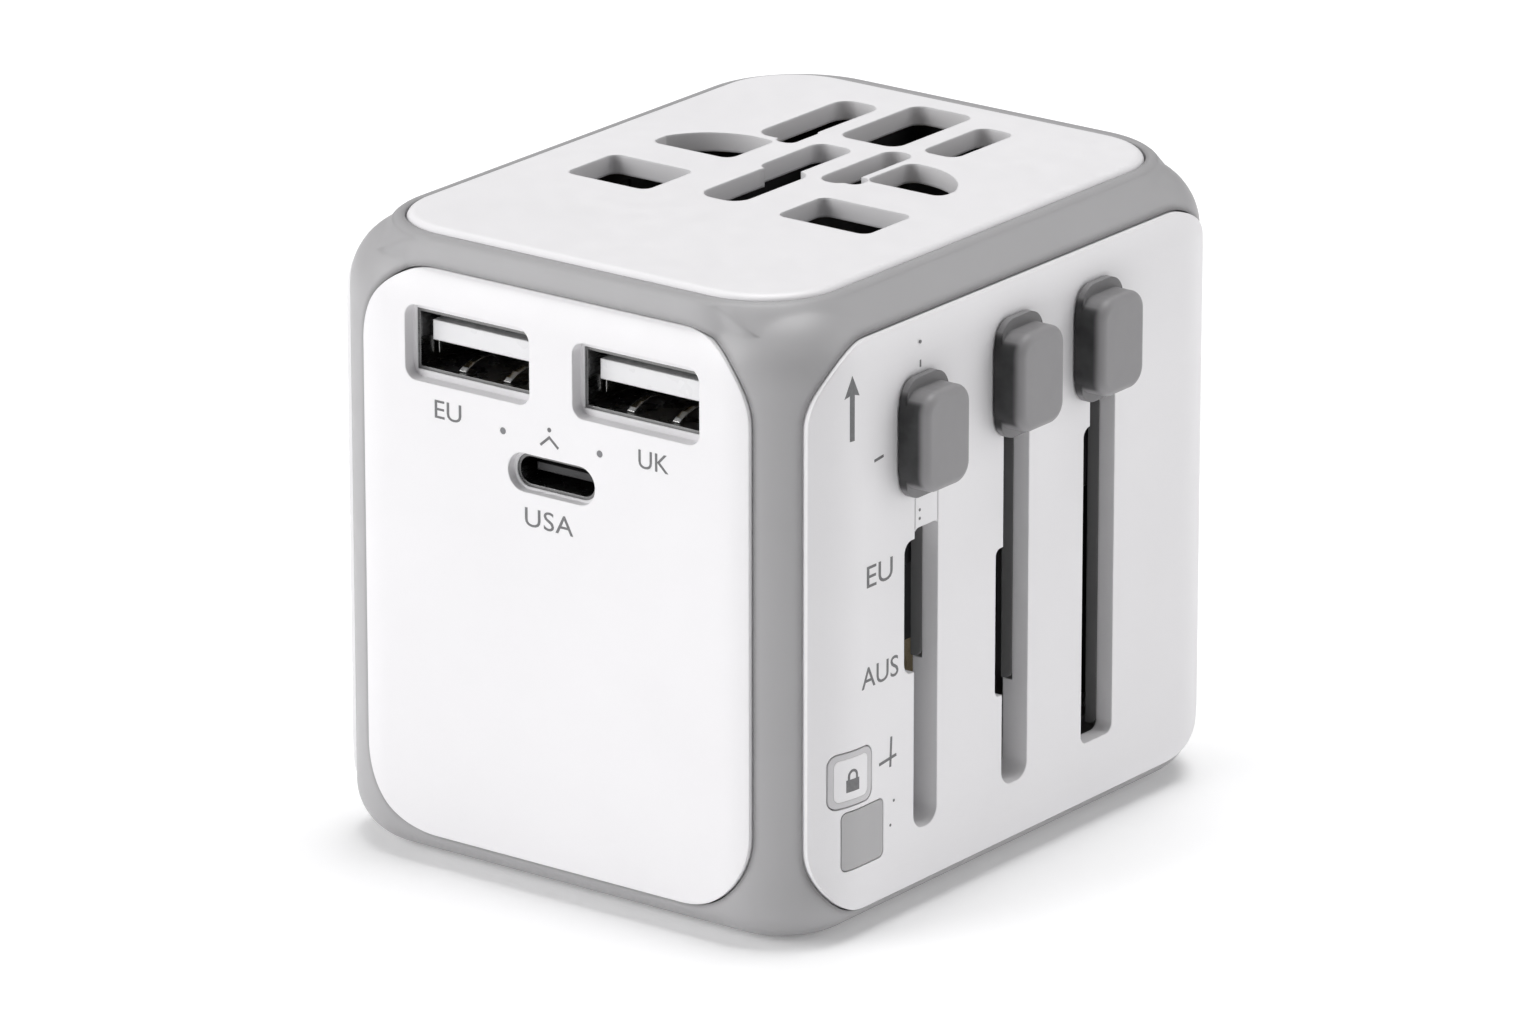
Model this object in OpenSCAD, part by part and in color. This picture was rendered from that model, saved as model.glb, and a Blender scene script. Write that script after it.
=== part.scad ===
// Universal travel adapter: a rounded block with inlaid panels. Two USB-A ports and one USB-C port
// sit in the front, a multi-standard socket in the top, and three finger sliders in the right-hand
// side push round pins, flat blades or rectangular pins out of the base. A release button and a
// fuse drawer sit below the sliders. +X is the slider side, -Y the USB front, +Z up. Units are mm.
// The origin is the centre of the base where the body rests.

/* [Body] */
// Width of the body, left to right
body_w = 54.6; // [52:0.1:58]
// Depth of the body, front to back
body_d = 66; // [64:0.1:70]
// Height of the frame, without the raised socket plate
body_h = 58.7; // [58:0.1:60]
// Radius of the four upright edges
edge_r = 8.4; // [7.5:0.1:9]
// Radius round the top edge
top_r = 6.4; // [5:0.1:6.8]
// Radius round the bottom edge
bottom_r = 5.2; // [4:0.1:5.6]
// Thickness of the frame wall
wall = 3.2; // [3:0.1:3.6]

/* [Panels] */
// Width of the front and rear panels
front_panel_w = 43; // [40:0.1:44]
// Height of the front and rear panels
front_panel_h = 53.3; // [50:0.1:54]
// Height of the middle of the front and rear panels
front_panel_z = 29.65; // [29:0.05:30.5]
// Corner radius of the front and rear panels
front_panel_r = 7.7; // [6:0.1:9]
// Width of the left and right panels
side_panel_w = 60; // [56:0.1:61]
// Height of the left and right panels
side_panel_h = 52.7; // [50:0.1:54]
// Height of the middle of the left and right panels
side_panel_z = 28.95; // [28:0.05:30]
// Corner radius of the left and right panels
side_panel_r = 7; // [7:0.1:10]
// How far a panel stands out of the frame
panel_proud = 0.3; // [0:0.05:0.5]
// Depth of a panel behind the frame surface
panel_inset = 2.4; // [2.2:0.1:2.6]
// Open joint line all round a panel
seam = 0.15; // [0.05:0.05:0.3]

/* [Socket plate] */
// Width of the socket plate
plate_w = 45.6; // [44:0.1:47]
// Depth of the socket plate
plate_d = 59.9; // [58:0.1:62]
// Corner radius of the socket plate
plate_r = 7.6; // [6:0.1:9]
// Thickness of the socket plate
plate_t = 1.8; // [1.6:0.1:2.2]
// How far the socket plate stands above the frame
plate_proud = 0.5; // [0.2:0.1:0.8]
// Rounding of the top edge of the socket plate
plate_edge_r = 0.8; // [0.4:0.1:1.2]

/* [Sliders] */
// Travel of each slider from stowed to fully out
travel = 27; // [24:0.5:27]
// Width of a knob
knob_w = 6.7; // [5:0.1:7]
// Height of a knob
knob_h = 9.1; // [8:0.1:10]
// How far a knob stands out of the panel
knob_out = 3.3; // [2:0.1:4]
// Rounding of the outer edge of a knob
knob_edge = 0.75; // [0.4:0.05:1.2]

/* [Plug pins] */
// Distance between the two round pins
eu_pitch = 19; // [19:0.1:19]
// Diameter of a round pin
eu_pin_d = 4; // [4:0.1:4.8]
// Distance between the two flat blades
us_pitch = 12.7; // [12.7:0.1:12.7]
// Thickness of a flat blade
us_blade_t = 1.5; // [1.4:0.1:1.6]
// Width of a flat blade
us_blade_w = 6.35; // [6.2:0.05:6.5]
// Distance between the live and neutral rectangular pins
uk_pitch = 22.2; // [22.2:0.1:22.2]
// Distance from that pair to the earth pin
uk_earth_y = 22.2; // [22.2:0.1:22.2]

/* [USB ports] */
// Distance of each USB-A port from the middle
usb_a_x = 9.4; // [8.5:0.1:9.8]
// Height of the USB-A ports
usb_a_z = 49.5; // [48.5:0.1:50]
// Height of the USB-C port
usb_c_z = 39.8; // [38:0.1:41]

/* [Part] */
// Which piece to draw

/* [Hidden] */
$fn = 64;
eps = 0.01;
half_w = body_w / 2;
half_d = body_d / 2;
frame_grey = [0.80, 0.80, 0.81];
panel_white = [0.95, 0.95, 0.96];
knob_grey = [0.50, 0.50, 0.51];
inner_black = [0.09, 0.09, 0.10];
brass = [0.80, 0.66, 0.36];
nickel = [0.76, 0.76, 0.77];
board_green = [0.10, 0.30, 0.20];

// Levels
plate_top = body_h + plate_proud;
plate_under = plate_top - plate_t;
base_top = 2.4;
base_under = 0;
bar_z = 30.6;
bar_t = 3.4;
bar_x0 = -20.2;
bar_x1 = 22.6;
bar_top = bar_z + bar_t;
deck_z = 34.6;
deck_t = 1.6;
deck_top = deck_z + deck_t;
block_top = plate_under;

// Depths behind the slider panel
panel_face = half_w + panel_proud;
panel_back = half_w - panel_inset;
panel_thin = 25.9;
arm_x0 = 22;
arm_x1 = 24.4;
arm_z0 = 31.5;
arm_w = 4.4;
stem_w = 3.1;
stem_h = 5.6;
stem_head = 1.9;

// Slot and knob lines, front to back
eu_slot_y = -15.1;
us_slot_y = -1.55;
uk_slot_y = 11.7;
eu_knob_y = -16.2;
us_knob_y = -2;
uk_knob_y = 10.3;
eu_knob_z = 45.1;
us_knob_z = 46.9;
uk_knob_z = 47;
slot_w = 3.9;
slot_r = 1.5;
slot_foot = 8.2;
slot_head = 50.6;
insert_end = 36.3;

// Pin rows
eu_y = -13.7;
us_y = -6.6;
uk_y = 0.4;
earth_y = uk_y + uk_earth_y;
rod_x = -17.6;
rod_r = 1.2;
rod_gap = 0.08;
hub_r = 3.3;
hub_gap = 0.1;
blade_top = 32.6;

// Release button and fuse drawer
button_y = -25.8;
button_z = 15.6;
button_w = 5.2;
button_h = 5;
drawer_y = -24.25;
drawer_z = 9.8;
drawer_w = 5.6;
drawer_h = 5.4;
fuse_r = 2.25;

// Board behind the front panel
board_y = -18.4;
board_t = 1.6;

// Rectangle with true round corners, centred
module round_rect(w, h, r) {
    square([w - 2 * r, h], center = true);
    square([w, h - 2 * r], center = true);
    for (sx = [-1, 1], sy = [-1, 1])
        translate([sx * (w / 2 - r), sy * (h / 2 - r)])
            circle(r = r);
}

// The same rectangle between two corners
module round_span(x0, x1, y0, y1, r) {
    translate([(x0 + x1) / 2, (y0 + y1) / 2])
        round_rect(x1 - x0, y1 - y0, r);
}

// Half section of a rounded edge: flat for rv - re, then a quarter circle
module edge_section(rv, re) {
    square([rv - re, re]);
    translate([rv - re, 0])
        intersection() {
            circle(r = re);
            square([re, re]);
        }
}

module edge_run(reach, run, rv, re) {
    translate([reach, 0, 0])
        rotate([90, 0, 0])
            linear_extrude(run, center = true)
                edge_section(rv, re);
}

// Slab with round corners rv and a rounded top edge re, re thick
module rounded_cap(w, d, rv, re) {
    sx = [1, -1, -1, 1];
    sy = [1, 1, -1, -1];
    linear_extrude(re)
        square([w - 2 * rv, d - 2 * rv], center = true);
    for (q = [0 : 3])
        translate([sx[q] * (w / 2 - rv), sy[q] * (d / 2 - rv), 0])
            rotate([0, 0, 90 * q])
                rotate_extrude(angle = 90)
                    edge_section(rv, re);
    for (q = [0, 2])
        rotate([0, 0, 90 * q])
            edge_run(w / 2 - rv, d - 2 * rv, rv, re);
    for (q = [1, 3])
        rotate([0, 0, 90 * q])
            edge_run(d / 2 - rv, w - 2 * rv, rv, re);
}

// Box rounded on every edge
module rounded_solid(w, d, h, rv, rt, rb) {
    translate([0, 0, rb])
        linear_extrude(h - rt - rb)
            round_rect(w, d, rv);
    translate([0, 0, h - rt])
        rounded_cap(w, d, rv, rt);
    translate([0, 0, rb])
        mirror([0, 0, 1])
            rounded_cap(w, d, rv, rb);
}

// Pad with round corners and a rounded outer edge
module rounded_pad(w, d, h, rv, re) {
    linear_extrude(h - re)
        round_rect(w, d, rv);
    translate([0, 0, h - re])
        rounded_cap(w, d, rv, re);
}

// The body surface, moved outward by grow
module body_solid(grow) {
    translate([0, 0, -grow])
        rounded_solid(body_w + 2 * grow, body_d + 2 * grow, body_h + 2 * grow,
            edge_r + grow, top_r + grow, bottom_r + grow);
}

// Stand a flat outline on a side, pushed out to a distance: (across, up) becomes the panel plane
module on_right(from, to) {
    translate([from, 0, 0])
        rotate([90, 0, 90])
            linear_extrude(to - from)
                children();
}

module on_left(from, to) {
    translate([-from, 0, 0])
        rotate([90, 0, -90])
            linear_extrude(to - from)
                children();
}

module on_front(from, to) {
    translate([0, -from, 0])
        rotate([90, 0, 0])
            linear_extrude(to - from)
                children();
}

module on_rear(from, to) {
    translate([0, from, 0])
        rotate([90, 0, 180])
            linear_extrude(to - from)
                children();
}

module front_outline(grow) {
    translate([0, front_panel_z])
        round_rect(front_panel_w + 2 * grow, front_panel_h + 2 * grow, front_panel_r + grow);
}

module side_outline(grow) {
    translate([0, side_panel_z])
        round_rect(side_panel_w + 2 * grow, side_panel_h + 2 * grow, side_panel_r + grow);
}

// Box from two corners
module box(x0, x1, y0, y1, z0, z1) {
    translate([x0, y0, z0])
        cube([x1 - x0, y1 - y0, z1 - z0]);
}

module rod(x, y, z0, z1, r) {
    translate([x, y, z0])
        cylinder(r = r, h = z1 - z0);
}

// ---- Outer shell -------------------------------------------------------------------------------

base_w = 43.2;
base_d = 55.2;
base_r = 7;
screw_x = 17.5;
screw_y = 23.8;
boss_r = 3;
boss_top = 6.2;
window_in = 1.6;
collar_w = 48.2;
collar_d = 63.8;
collar_r = 10;
collar_edge = 0.6;
collar_top = 58.8;
collar_foot = 55;
slope_x0 = 24.1;
slope_z0 = 58.5;
slope_x1 = 25.86;
slope_z1 = 56.34;
slope_sx = [1, -1, -1, 1];
slope_sy = [1, 1, -1, -1];
slope_w = 51.6;
slope_d = 63;
slope_r = 6.9;
skirt_top = 58.2;
skirt_foot = 53.5;
skirt_out = 0.9;

// One-piece frame: seats for the four panels, the socket plate and the base plate
module outer_frame() {
    out = half_d + 3;
    color(frame_grey)
        union() {
            difference() {
                union() {
                    body_solid(0);
                    collar();
                }
                translate([0, 0, wall])
                    rounded_solid(body_w - 2 * wall, body_d - 2 * wall, body_h - 2 * wall,
                        edge_r - wall, top_r - wall, bottom_r - wall);
                translate([0, 0, plate_under])
                    linear_extrude(10)
                        round_rect(plate_w + 2 * seam, plate_d + 2 * seam, plate_r + seam);
                translate([0, 0, body_h - wall - 1])
                    linear_extrude(10)
                        round_rect(plate_w - 3, plate_d - 3, plate_r - 1.5);
                translate([0, 0, -1])
                    linear_extrude(1 + base_top)
                        round_rect(base_w + 2 * seam, base_d + 2 * seam, base_r + seam);
                linear_extrude(wall + 1)
                    round_rect(base_w - 3, base_d - 3, base_r - 1.5);
                on_right(panel_back, out)
                    side_outline(seam);
                on_left(panel_back, out)
                    side_outline(seam);
                on_front(half_d - panel_inset, out)
                    front_outline(seam);
                on_rear(half_d - panel_inset, out)
                    front_outline(seam);
                on_right(half_w - wall - 2, panel_back + 1)
                    side_outline(-window_in);
                on_front(half_d - wall - 2, half_d - panel_inset + 1)
                    front_outline(-window_in);
                box(15, panel_back + 0.6, -29.5, -20.3, 6.2, 18.9);
                box(-2.4, 2.4, earth_y - 4.4, earth_y + 4.5, base_top - 0.5, wall + 1);
            }
            for (sx = [-1, 1], sy = [-1, 1])
                frame_boss(sx, sy);
        }
}

// Flat land round the socket plate. Slopes run down from it to the two side faces, and a steep
// skirt to the front and rear
module collar() {
    translate([0, 0, collar_foot])
        rounded_pad(collar_w, collar_d, collar_top - collar_foot, collar_r, collar_edge);
    intersection() {
        union() {
            rotate([90, 0, 0])
                linear_extrude(collar_d - 2 * collar_r, center = true)
                    polygon([
                        [-slope_x1, slope_z1], [slope_x1, slope_z1],
                        [slope_x0, slope_z0], [-slope_x0, slope_z0]
                    ]);
            collar_corners(slope_z1, slope_z0, slope_x1 - slope_x0);
        }
        linear_extrude(body_h)
            round_rect(slope_w, slope_d, slope_r);
    }
    rotate([90, 0, 90])
        linear_extrude(collar_w - 2 * collar_r, center = true)
            polygon([
                [-collar_d / 2 - skirt_out, skirt_foot], [collar_d / 2 + skirt_out, skirt_foot],
                [collar_d / 2, skirt_top], [-collar_d / 2, skirt_top]
            ]);
    collar_corners(skirt_foot, skirt_top, skirt_out);
}

// Four quarter cones round the corners of the land, wider by out at the foot
module collar_corners(foot, top, out) {
    for (q = [0 : 3])
        translate([slope_sx[q] * (collar_w / 2 - collar_r), slope_sy[q] * (collar_d / 2 - collar_r), 0])
            rotate([0, 0, 90 * q])
                rotate_extrude(angle = 90)
                    polygon([[0, foot], [collar_r + out, foot], [collar_r, top], [0, top]]);
}

// Screw post joined to the floor rim
module frame_boss(sx, sy) {
    difference() {
        union() {
            rod(sx * screw_x, sy * screw_y, base_top, boss_top, boss_r);
            translate([sx * (screw_x + 1.6), sy * screw_y, (base_top + boss_top) / 2])
                cube([3.2, 4, boss_top - base_top], center = true);
        }
        rod(sx * screw_x, sy * screw_y, base_top - 1, boss_top + 1, 0.95);
    }
}

// Base plate with the openings the pins come out through
module base_plate() {
    color(frame_grey)
        difference() {
            translate([0, 0, base_under])
                linear_extrude(base_top - base_under)
                    round_rect(base_w, base_d, base_r);
            for (s = [-1, 1]) {
                rod(s * eu_pitch / 2, eu_y, -1, base_top + 1, eu_pin_d / 2 + 0.25);
                translate([s * us_pitch / 2, us_y, -1])
                    linear_extrude(base_top + 2)
                        twist_opening(s);
                translate([s * uk_pitch / 2, uk_y, -1])
                    linear_extrude(base_top + 2)
                        square([6.35 + 0.5, 4 + 0.5], center = true);
            }
            translate([0, earth_y, -1])
                linear_extrude(base_top + 2)
                    square([4 + 0.5, 8 + 0.5], center = true);
            for (sx = [-1, 1], sy = [-1, 1]) {
                rod(sx * screw_x, sy * screw_y, -1, base_top + 1, 1.15);
                rod(sx * screw_x, sy * screw_y, -1, 1.4, 2.2);
            }
        }
}

// Bow-tie shaped opening that clears a blade at any angle from 0 to 30 degrees
module twist_opening(s) {
    for (a = [0 : 6 : 30])
        rotate(s * a)
            square([us_blade_t + 0.5, us_blade_w + 0.5], center = true);
}

// Four pan-head screws that hold the base plate
module base_screws() {
    color(nickel)
        for (sx = [-1, 1], sy = [-1, 1])
            difference() {
                union() {
                    rod(sx * screw_x, sy * screw_y, 0.45, 1.4, 2);
                    rod(sx * screw_x, sy * screw_y, 1.4, boss_top - 0.4, 0.95);
                }
                translate([sx * screw_x, sy * screw_y, 0.6])
                    cube([2.6, 0.5, 0.8], center = true);
                translate([sx * screw_x, sy * screw_y, 0.6])
                    cube([0.5, 2.6, 0.8], center = true);
            }
}

// ---- Socket plate ------------------------------------------------------------------------------

// Socket openings, front to back
module live_openings() {
    round_span(-16.9, -7.7, -9.6, -2.3, 1);
    left_arch();
    round_span(-10.7, -6.2, 10.6, 24.2, 1.6);
    round_span(-8, -5.9, 9.8, 14.4, 0.8);
}

module neutral_openings() {
    round_span(6.2, 16.2, -8.7, -1.6, 1);
    right_arch();
    round_span(4.8, 8.7, 15, 24.5, 1.2);
    round_span(2.4, 5.4, 2.3, 13.7, 1.4);
    round_span(4, 6.6, 2.9, 5.2, 0.9);
}

// Half-round openings that take a round pin
module left_arch() {
    intersection() {
        round_span(-16.6, -7.6, 2.7, 9.9, 1.1);
        translate([-9.6, 2.1])
            circle(r = 7.6);
    }
}

module right_arch() {
    intersection() {
        round_span(6.2, 14.7, 4.6, 11.6, 1.1);
        translate([7.6, 4])
            circle(r = 7.6);
    }
}

module earth_opening() {
    round_span(-4.2, 2.5, 14.4, 26.8, 1.4);
}

module centre_openings() {
    round_span(-4.2, 0, 2.2, 11.7, 1.3);
    round_span(-3.4, 1.4, -7.8, 3.4, 1.8);
}

// Top plate with the openings of the multi-standard socket
module socket_plate() {
    color(panel_white)
        difference() {
            translate([0, 0, plate_under])
                rounded_pad(plate_w, plate_d, plate_t, plate_r, plate_edge_r);
            translate([0, 0, plate_under - 1])
                linear_extrude(plate_t + 2) {
                    live_openings();
                    neutral_openings();
                    earth_opening();
                    centre_openings();
                }
        }
}

// ---- Panels ------------------------------------------------------------------------------------

usb_a_in = [12.5, 5.1];
usb_c_in = [8.34, 2.56];
shell_t = 0.3;
port_floor = half_d + panel_proud - 1.2;
port_c_floor = half_d + panel_proud - 0.8;

// Front panel with two USB-A recesses, one USB-C recess and two indicator holes
module front_panel() {
    back = half_d - panel_inset;
    color(panel_white)
        difference() {
            intersection() {
                body_solid(panel_proud);
                on_front(back, half_d + 2)
                    front_outline(0);
            }
            for (s = [-1, 1]) {
                on_front(port_floor, half_d + 2)
                    translate([s * usb_a_x, usb_a_z])
                        round_rect(14, 7, 1.2);
                on_front(back - 1, half_d + 2)
                    translate([s * usb_a_x, usb_a_z])
                        square([usb_a_in[0] + 2 * shell_t, usb_a_in[1] + 2 * shell_t], center = true);
                on_front(back - 1, half_d + 2)
                    translate([s * 5.4, 43.2])
                        circle(r = 0.32);
            }
            on_front(port_c_floor, half_d + 2)
                translate([0, usb_c_z])
                    round_rect(9.7, 3.6, 1.75);
            on_front(back - 1, half_d + 2)
                translate([0, usb_c_z])
                    round_rect(usb_c_in[0] + 2 * shell_t, usb_c_in[1] + 2 * shell_t, 1.5);
        }
}

// Right-hand panel: three stepped slots, button opening and drawer opening
module slider_panel() {
    color(panel_white)
        difference() {
            intersection() {
                body_solid(panel_proud);
                on_right(panel_back, half_w + 2)
                    side_outline(0);
            }
            on_right(panel_back - 1, half_w + 2) {
                eu_slot();
                us_slot();
                uk_slot();
                translate([button_y, button_z])
                    round_rect(button_w + 0.24, button_h + 0.24, 1.02);
                translate([drawer_y, drawer_z])
                    round_rect(drawer_w + 0.2, drawer_h + 0.2, 0.65);
            }
            box(panel_back - 1, panel_thin, -19.3, -12.2, 23, 52);
            box(panel_back - 1, panel_thin, -5.6, 1.6, 17, 52);
            box(panel_back - 1, panel_thin, 8, 15, 7.6, 52);
        }
}

module eu_slot() {
    round_span(eu_slot_y - 1.75, eu_slot_y + 1.75, slot_foot - 0.2, 49.2, slot_r);
    round_span(-18.35, eu_slot_y + 1.75, 23, 35.4, 1.1);
}

module us_slot() {
    round_span(us_slot_y - slot_w / 2, us_slot_y + slot_w / 2, slot_foot, slot_head, slot_r);
    round_span(-4.6, us_slot_y + slot_w / 2, 17, 31, 0.7);
}

module uk_slot() {
    round_span(uk_slot_y - slot_w / 2, uk_slot_y + slot_w / 2, slot_foot + 0.4, slot_head, slot_r);
    round_span(8.8, uk_slot_y + slot_w / 2, slot_foot + 0.4, 38.8, 0.9);
}

module left_panel() {
    color(panel_white)
        intersection() {
            body_solid(panel_proud);
            on_left(panel_back, half_w + 2)
                side_outline(0);
        }
}

module rear_panel() {
    color(panel_white)
        intersection() {
            body_solid(panel_proud);
            on_rear(half_d - panel_inset, half_d + 2)
                front_outline(0);
        }
}

// ---- Inside: chassis, socket and contacts ------------------------------------------------------

block_x0 = -19.6;
block_x1 = 19;
block_y0 = -12.6;
block_y1 = 28.2;
block_floor = 37.6;
shutter_z = 54.1;
shutter_t = 1.2;
shutter_go = 6;

// Deck between the socket block above and the plug carriages below
module chassis_deck() {
    color(inner_black)
        difference() {
            union() {
                translate([0, 0, deck_z])
                    linear_extrude(deck_t)
                        intersection() {
                            round_rect(body_w - 2 * wall, body_d - 2 * wall, 6);
                            translate([-30, board_y + board_t])
                                square([50.6, 60]);
                        }
                box(-21.9, -20.7, 20, 24, wall, deck_z);
                box(12, 16, 26.4, 27.6, wall, deck_z);
                box(-21.9, -20.7, -2.2, 0.8, wall, deck_z);
            }
            box(16, 21, 8, 26, deck_z - 1, deck_top + 1);
        }
}

// Three steel rods the carriages slide on
module guide_rods() {
    color(nickel)
        for (y = [eu_y, us_y, 6])
            rod(rod_x, y, base_top, deck_z, rod_r);
}

// Moulded socket housing with a chamber for each contact
module socket_block() {
    color(inner_black)
        difference() {
            translate([0, 0, deck_top])
                linear_extrude(block_top - deck_top)
                    round_span(block_x0, block_x1, block_y0, block_y1, 6);
            box(-18.2, -5.5, -10.6, 25.4, block_floor, block_top + 1);
            box(2.2, 17.4, -9.8, 14.2, block_floor, block_top + 1);
            box(4.1, 17.4, 14.1, 25.4, block_floor, block_top + 1);
            box(-4.8, 3.1, 14, 27.4, block_floor, block_top + 1);
            box(-4.8, 1.6, -8.6, 12.4, block_floor, block_top + 1);
            box(-18.4, 17.6, block_y0 - 1, 1.8, shutter_z - 0.3, shutter_z + shutter_t + 0.3);
            box(-2.7, -0.1, 1.7, 14.1, shutter_z - 0.3, shutter_z + shutter_t + 0.3);
        }
}

// Sprung two-leaf contact: a folded strip, open at the top
module clip(x, y, across, along, z0, z1) {
    leaf = 0.6;
    box(x - across / 2 - leaf, x - across / 2, y - along / 2, y + along / 2, z0, z1);
    box(x + across / 2, x + across / 2 + leaf, y - along / 2, y + along / 2, z0, z1);
    box(x - across / 2 - leaf, x + across / 2 + leaf, y - along / 2, y + along / 2, z0, z0 + leaf);
}

module live_contact() {
    color(brass) {
        clip(-11.8, -3.9, 6.6, 3.6, block_floor, 50);
        clip(-10.2, 7.2, 5, 4, block_floor, 50);
        clip(-7.1, 19, 1.7, 5, block_floor, 50);
        box(-16.2, -15.1, -5.7, 21, block_floor, block_floor + 0.8);
        box(-15.2, -8, 19.5, 21, block_floor, block_floor + 0.8);
        box(-15.2, -12, 6, 8, block_floor, block_floor + 0.8);
    }
}

module neutral_contact() {
    color(brass) {
        clip(10.4, -3.9, 6.6, 3.6, block_floor, 50);
        clip(8.8, 7.2, 5, 4, block_floor, 50);
        clip(5.7, 19, 1.7, 5, block_floor, 50);
        box(13.7, 15, -5.7, 21, block_floor, block_floor + 0.8);
        box(6, 13.8, 19.5, 21, block_floor, block_floor + 0.8);
        box(11, 13.8, 6, 8, block_floor, block_floor + 0.8);
    }
}

module earth_contact() {
    color(brass)
        clip(-0.7, 18.3, 4.3, 7, block_floor, 52);
}

// Sliding shutter: two leaves over the rectangular openings and a tongue to the earth opening
module safety_shutter() {
    color(knob_grey)
        union() {
            box(-17.6, 16.8, -10.3, -1.4, shutter_z, shutter_z + shutter_t);
            box(-2.2, -0.6, -1.5, 20, shutter_z, shutter_z + shutter_t);
            box(-2.2, -0.6, 1, 11.8, shutter_z - 2.1, shutter_z + 0.1);
        }
}

// Return spring of the shutter: an open coil drawn as a row of rings along Y
module shutter_spring() {
    color(nickel)
        for (k = [0 : 7])
            translate([-1.4, -8.2 + k * 1.25, shutter_z - 1.15])
                rotate([90, 0, 0])
                    rotate_extrude()
                        translate([0.72, 0])
                            circle(r = 0.16);
}

// ---- Inside: electronics -----------------------------------------------------------------------

module main_board() {
    color(board_green)
        box(-20.4, 20.4, board_y, board_y + board_t, 4, 55);
}

module usb_a_shell(s) {
    color(nickel)
        difference() {
            translate([s * usb_a_x, 0, usb_a_z])
                box(-usb_a_in[0] / 2 - shell_t, usb_a_in[0] / 2 + shell_t, 0.1 - port_floor, board_y,
                    -usb_a_in[1] / 2 - shell_t, usb_a_in[1] / 2 + shell_t);
            translate([s * usb_a_x, 0, usb_a_z])
                box(-usb_a_in[0] / 2, usb_a_in[0] / 2, -half_d, board_y - 0.8,
                    -usb_a_in[1] / 2, usb_a_in[1] / 2);
        }
}

module usb_a_shell_left() {
    usb_a_shell(-1);
}

module usb_a_shell_right() {
    usb_a_shell(1);
}

module usb_a_tongue(s) {
    color(panel_white)
        translate([s * usb_a_x, 0, usb_a_z])
            box(-5.55, 5.55, 1.9 - half_d, board_y - 0.8, -0.2, 1.65);
}

module usb_a_tongue_left() {
    usb_a_tongue(-1);
}

module usb_a_tongue_right() {
    usb_a_tongue(1);
}

// Four contact strips under each tongue
module usb_a_contacts() {
    color(brass)
        for (s = [-1, 1], x = [-3.5, -1, 1, 3.5])
            translate([s * usb_a_x + x, 0, usb_a_z])
                box(-0.5, 0.5, 2.6 - half_d, board_y - 0.8, -0.35, -0.2);
}

module usb_c_shell() {
    color(nickel)
        difference() {
            on_front(-board_y, port_c_floor - 0.1)
                translate([0, usb_c_z])
                    round_rect(usb_c_in[0] + 2 * shell_t, usb_c_in[1] + 2 * shell_t, 1.5);
            on_front(-board_y + 0.8, half_d + 1)
                translate([0, usb_c_z])
                    round_rect(usb_c_in[0], usb_c_in[1], 1.25);
        }
}

module usb_c_tongue() {
    color(inner_black)
        translate([0, 0, usb_c_z])
            box(-3.35, 3.35, 2 - half_d, board_y - 0.8, -0.35, 0.35);
}

// Two light pipes that end flush with the front panel
module indicator_pipes() {
    color(panel_white)
        for (s = [-1, 1])
            on_front(-board_y, half_d + panel_proud)
                translate([s * 5.4, 43.2])
                    circle(r = 0.32);
}

module transformer() {
    color([0.85, 0.70, 0.20])
        union() {
            box(-20, -4, board_y - 9.5, board_y, 9, 21);
            box(-17, -7, board_y - 11, board_y, 7, 23);
        }
}

module filter_capacitors() {
    color(inner_black)
        for (x = [-14, -5])
            translate([x, board_y, 29.3])
                rotate([90, 0, 0])
                    cylinder(r = 3.8, h = 10);
}

module choke() {
    color([0.25, 0.18, 0.12])
        translate([9, board_y, 25])
            rotate([90, 0, 0])
                difference() {
                    cylinder(r = 6, h = 5);
                    translate([0, 0, -1])
                        cylinder(r = 2.6, h = 7);
                }
}

module live_rail() {
    color(brass)
        box(wall - half_w, wall - half_w + 0.8, -15.6, -11.8, 5.4, deck_z);
}

module neutral_rail() {
    color(brass)
        box(wall - half_w, wall - half_w + 0.8, -8.6, -4.6, 5.4, deck_z);
}

// ---- Sliders -----------------------------------------------------------------------------------

// Finger knob on a thin flange, with its stem through the slot
module slider_knob(y, z, slot_y) {
    color(knob_grey)
        union() {
            translate([panel_face + 0.15, y, z])
                rotate([90, 0, 90])
                    rounded_pad(knob_w, knob_h, knob_out - 0.15, 1.9, knob_edge);
            translate([panel_face + 0.15, y, z])
                rotate([90, 0, 90])
                    linear_extrude(0.7)
                        round_rect(knob_w - 0.3, knob_h + 2, 2.1);
            box(arm_x1, panel_face + 0.4, slot_y - stem_w / 2, slot_y + stem_w / 2,
                z - stem_h / 2, z + stem_head);
        }
}

// Upright arm behind the panel, from a carriage to its knob
module slider_arm(y, z) {
    box(arm_x0, arm_x1, y - arm_w / 2, y + arm_w / 2, arm_z0, z + stem_h / 2 + 0.6);
}

module eu_knob() {
    slider_knob(eu_knob_y, eu_knob_z, eu_slot_y);
}

module eu_carriage() {
    color(inner_black)
        difference() {
            union() {
                box(bar_x0, bar_x1, -16.4, -11.1, bar_z, bar_top);
                slider_arm(eu_slot_y, eu_knob_z);
            }
            for (s = [-1, 1])
                rod(s * eu_pitch / 2, eu_y, bar_z - 1, bar_top - 0.8, 1.6);
            rod(rod_x, eu_y, bar_z - 1, bar_top + 1, rod_r + rod_gap);
        }
}

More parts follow.
